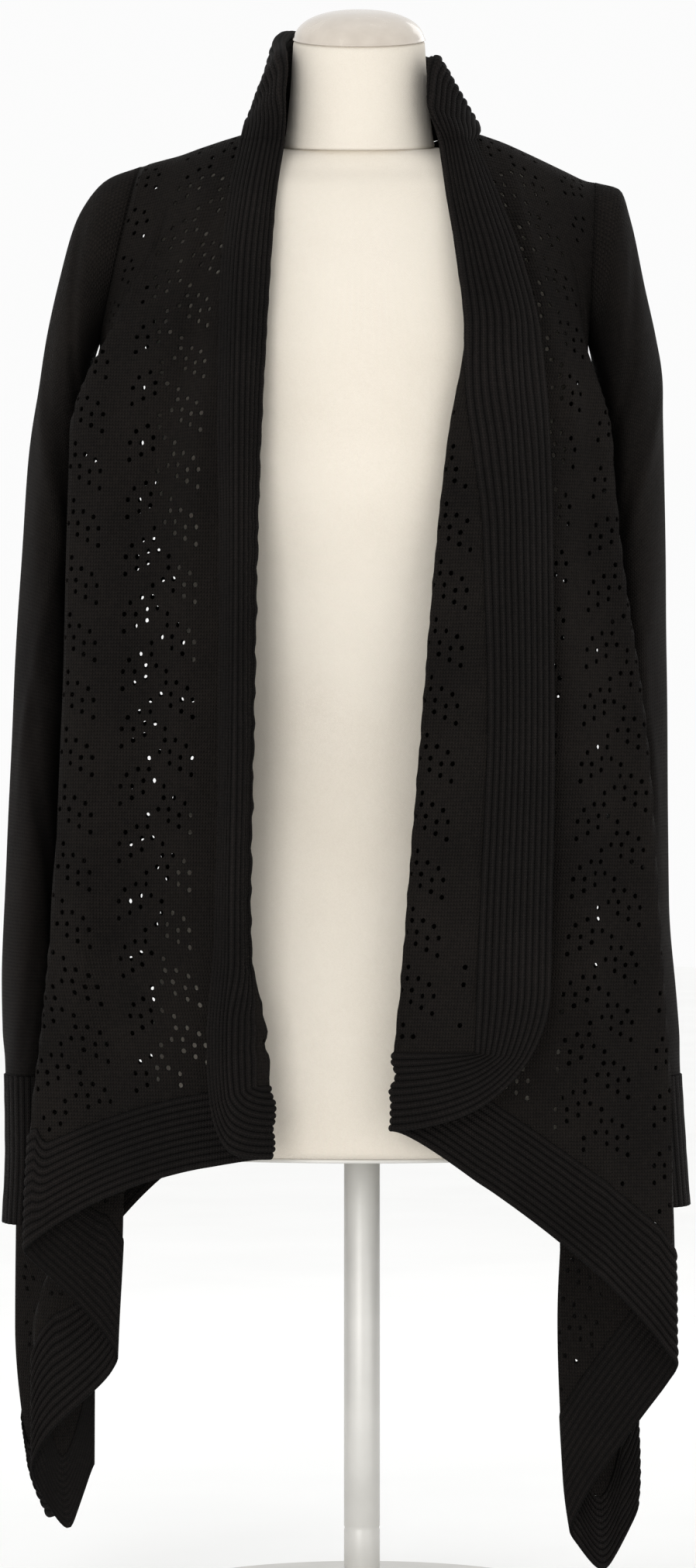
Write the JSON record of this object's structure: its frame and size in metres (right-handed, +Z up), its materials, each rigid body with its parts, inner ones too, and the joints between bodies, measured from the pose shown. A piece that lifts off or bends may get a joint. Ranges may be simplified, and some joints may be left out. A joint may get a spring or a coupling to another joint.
{
  "type": "open-front lace cardigan on a dress form",
  "caption": "Long-sleeved open-front lace-knit cardigan with a ribbed shawl collar, turned-back lapels and pointed side hems, shown on a limbless dress form with a round foot.",
  "frame": {"origin": "centre of the underside of the stand's foot, on the floor", "axes": "+Z up, front towards -Y, the wearer's left at +X"},
  "size_m": [0.4798, 0.2863, 1.1141],
  "materials": {
    "knit_lace": "matte fine plain knit with leaf lace",
    "knit_rib": "matte ribbed knit",
    "linen_cover": "ivory fine linen cover",
    "cap_white": "glossy off-white",
    "painted_metal": "satin pale grey"
  },
  "bodies": {
    "root": {"front_left": "knit_lace", "front_right": "knit_lace", "back": "knit_lace", "sleeve_left": "knit_lace", "sleeve_right": "knit_lace", "collar_stand": "knit_lace", "band_left": "knit_rib", "band_right": "knit_rib", "band_neck": "knit_rib", "hem_left": "knit_rib", "hem_right": "knit_rib", "hem_back": "knit_rib", "cuff_left": "knit_rib", "cuff_right": "knit_rib", "form_torso": "linen_cover", "form_neck": "linen_cover", "neck_cap": "cap_white", "form_plate": "painted_metal", "pole": "painted_metal", "foot": "painted_metal"}
  },
  "joints": []
}
